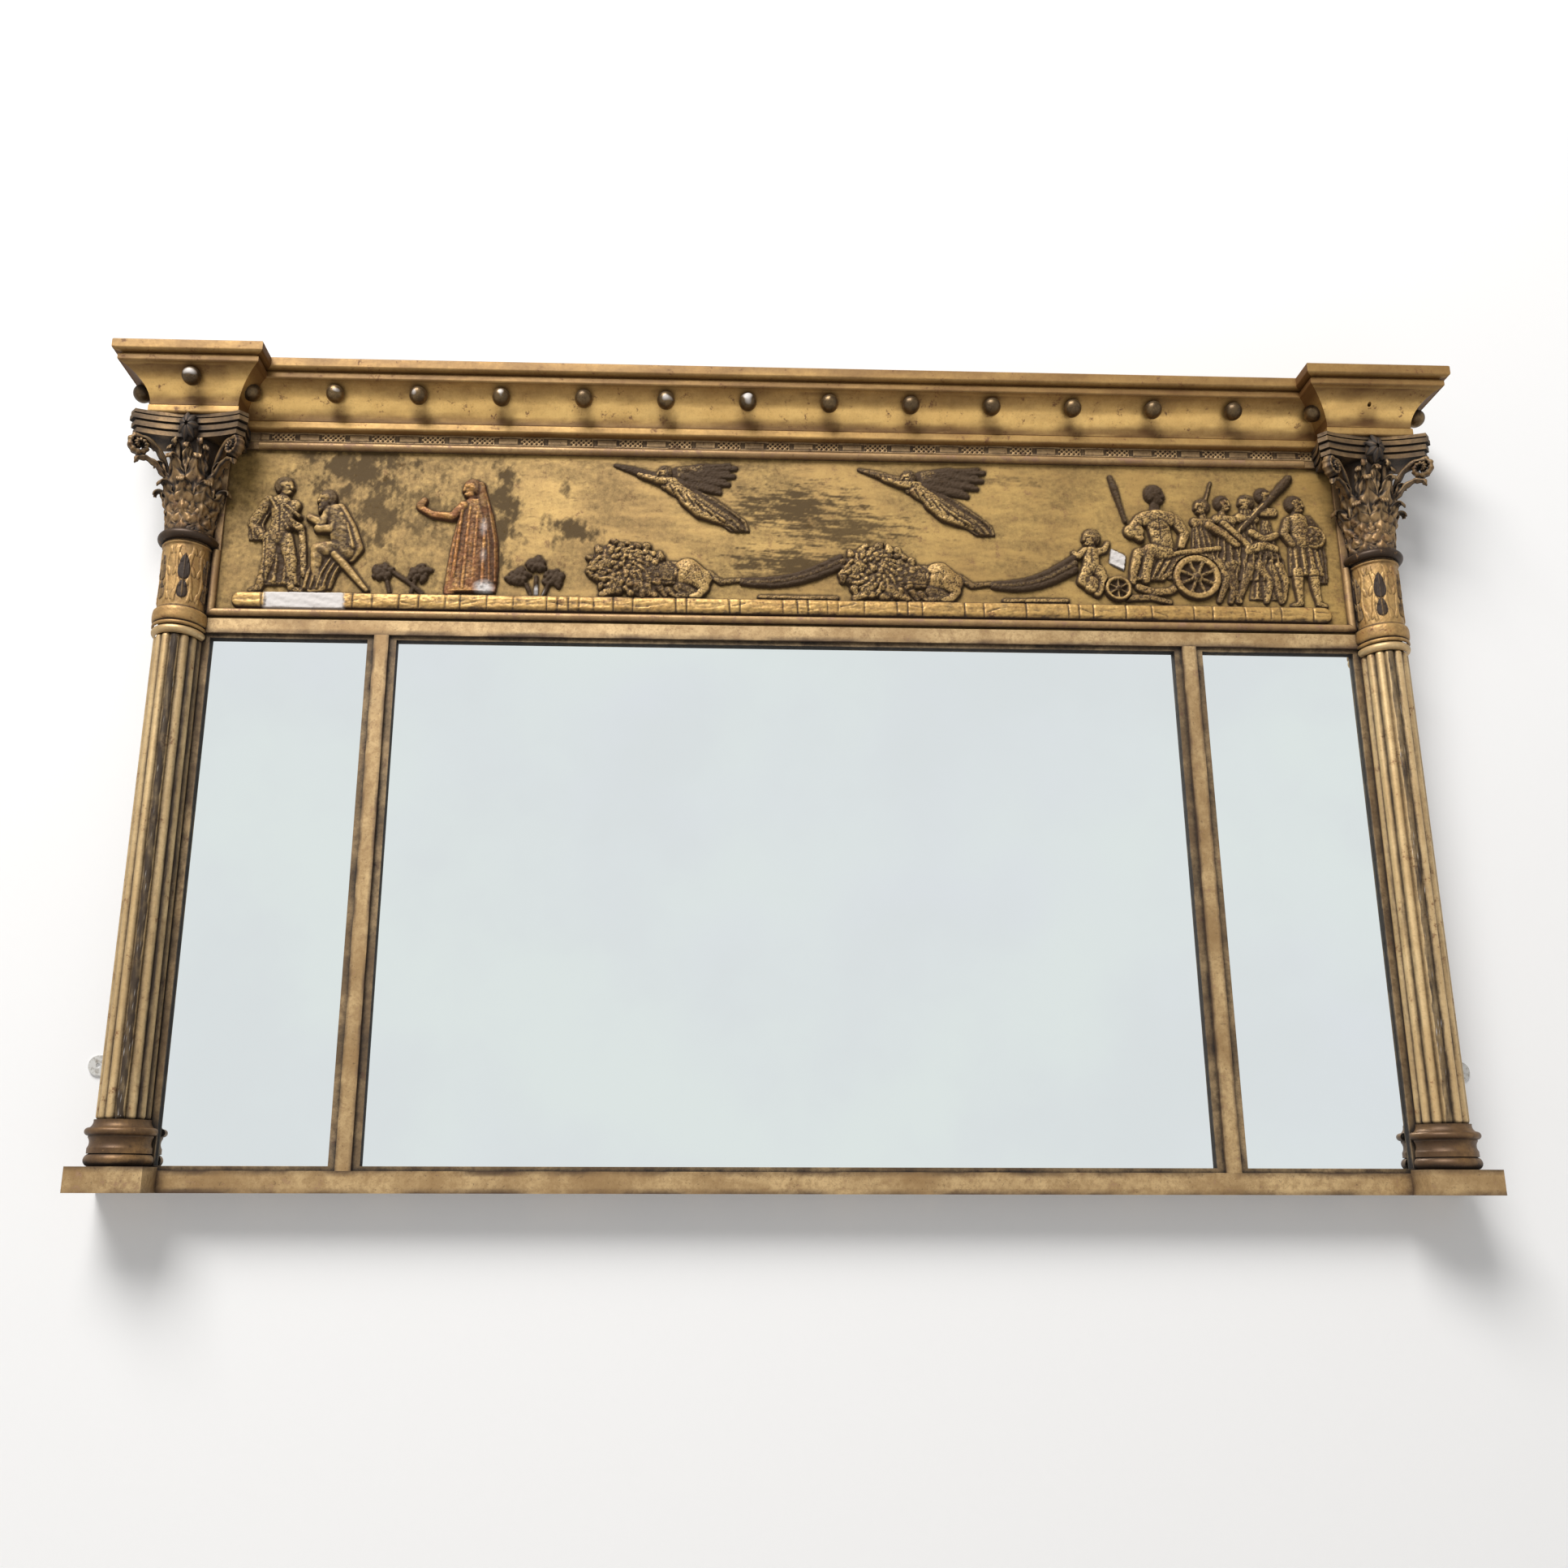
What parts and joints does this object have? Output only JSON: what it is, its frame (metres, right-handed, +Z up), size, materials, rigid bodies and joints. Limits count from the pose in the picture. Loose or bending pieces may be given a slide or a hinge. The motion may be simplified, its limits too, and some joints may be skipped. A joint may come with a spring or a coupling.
{
  "type": "overmantel mirror",
  "caption": "Wide overmantel mirror with three flat plates between reeded half-columns, a figured frieze above them and a breakfront cornice set with balls.",
  "frame": {"origin": "middle of the bottom edge, halfway between the wall plane and the front of the cornice", "axes": "+X to the right for someone facing the glass, -Y out into the room with the wall on +Y, +Z up"},
  "size_m": [1.376, 0.098, 0.842],
  "materials": {
    "bare_pine": "bare old softwood",
    "bronzed_turning": "turned pine, bronzed dark brown with rubbed gold edges",
    "gilt_ball": "turned and gilt, chipped to gesso",
    "gilt_composition": "moulded composition, gilt, dark in its hollows",
    "gilt_field": "gilt frieze ground with brown stained patches",
    "gilt_frame": "old water gilding over red bole and gesso on pine, rubbed and toned brown",
    "gilt_slip": "thin gilt pine fillet, pinkish where worn",
    "iron_nail": "dull hand-cut nail",
    "mirror_plate": "flat silvered plate",
    "painted_plate": "thin grey-white plate",
    "red_gold_composition": "moulded composition, gold worn to its orange-red bole",
    "steel_screw": "slotted countersunk screw"
  },
  "bodies": {
    "root": {"bottom_rail": "gilt_frame", "frieze_rail": "gilt_frame", "top_rail": "bare_pine", "left_stile": "gilt_frame", "right_stile": "gilt_frame", "left_mullion": "gilt_frame", "right_mullion": "gilt_frame", "frieze_board": "gilt_field", "left_slip": "gilt_slip", "centre_slip": "gilt_slip", "right_slip": "gilt_slip", "left_glass": "mirror_plate", "centre_glass": "mirror_plate", "right_glass": "mirror_plate", "glazing_blocks": "bare_pine", "left_backboard": "bare_pine", "centre_backboard": "bare_pine", "right_backboard": "bare_pine", "backboard_nails": "iron_nail", "frieze_top_fillet": "gilt_frame", "frieze_bottom_fillet": "gilt_frame", "frieze_side_fillets": "gilt_frame", "leaf_run": "gilt_composition", "ground_course": "gilt_composition", "relief_left_pair": "gilt_composition", "relief_robed_figure": "red_gold_composition", "relief_flying_pair": "gilt_composition", "relief_lions": "gilt_composition", "relief_chariot": "gilt_composition", "relief_shield_bearer": "gilt_composition", "relief_foliage": "gilt_composition", "left_plinth": "gilt_frame", "left_base": "bronzed_turning", "left_shaft": "gilt_frame", "left_drum": "gilt_frame", "left_neck_ring": "bronzed_turning", "left_capital_bell": "bronzed_turning", "left_capital_leaves": "gilt_composition", "left_abacus": "gilt_frame", "right_plinth": "gilt_frame", "right_base": "bronzed_turning", "right_shaft": "gilt_frame", "right_drum": "gilt_frame", "right_neck_ring": "bronzed_turning", "right_capital_bell": "bronzed_turning", "right_capital_leaves": "gilt_composition", "right_abacus": "gilt_frame", "cornice_centre": "gilt_frame", "left_cornice_front": "gilt_frame", "left_cornice_inner_return": "gilt_frame", "left_cornice_outer_return": "gilt_frame", "left_cornice_block": "bare_pine", "right_cornice_front": "gilt_frame", "right_cornice_inner_return": "gilt_frame", "right_cornice_outer_return": "gilt_frame", "right_cornice_block": "bare_pine", "cornice_balls": "gilt_ball", "wall_plates": "painted_plate", "wall_plate_screws": "steel_screw"}
  },
  "joints": []
}
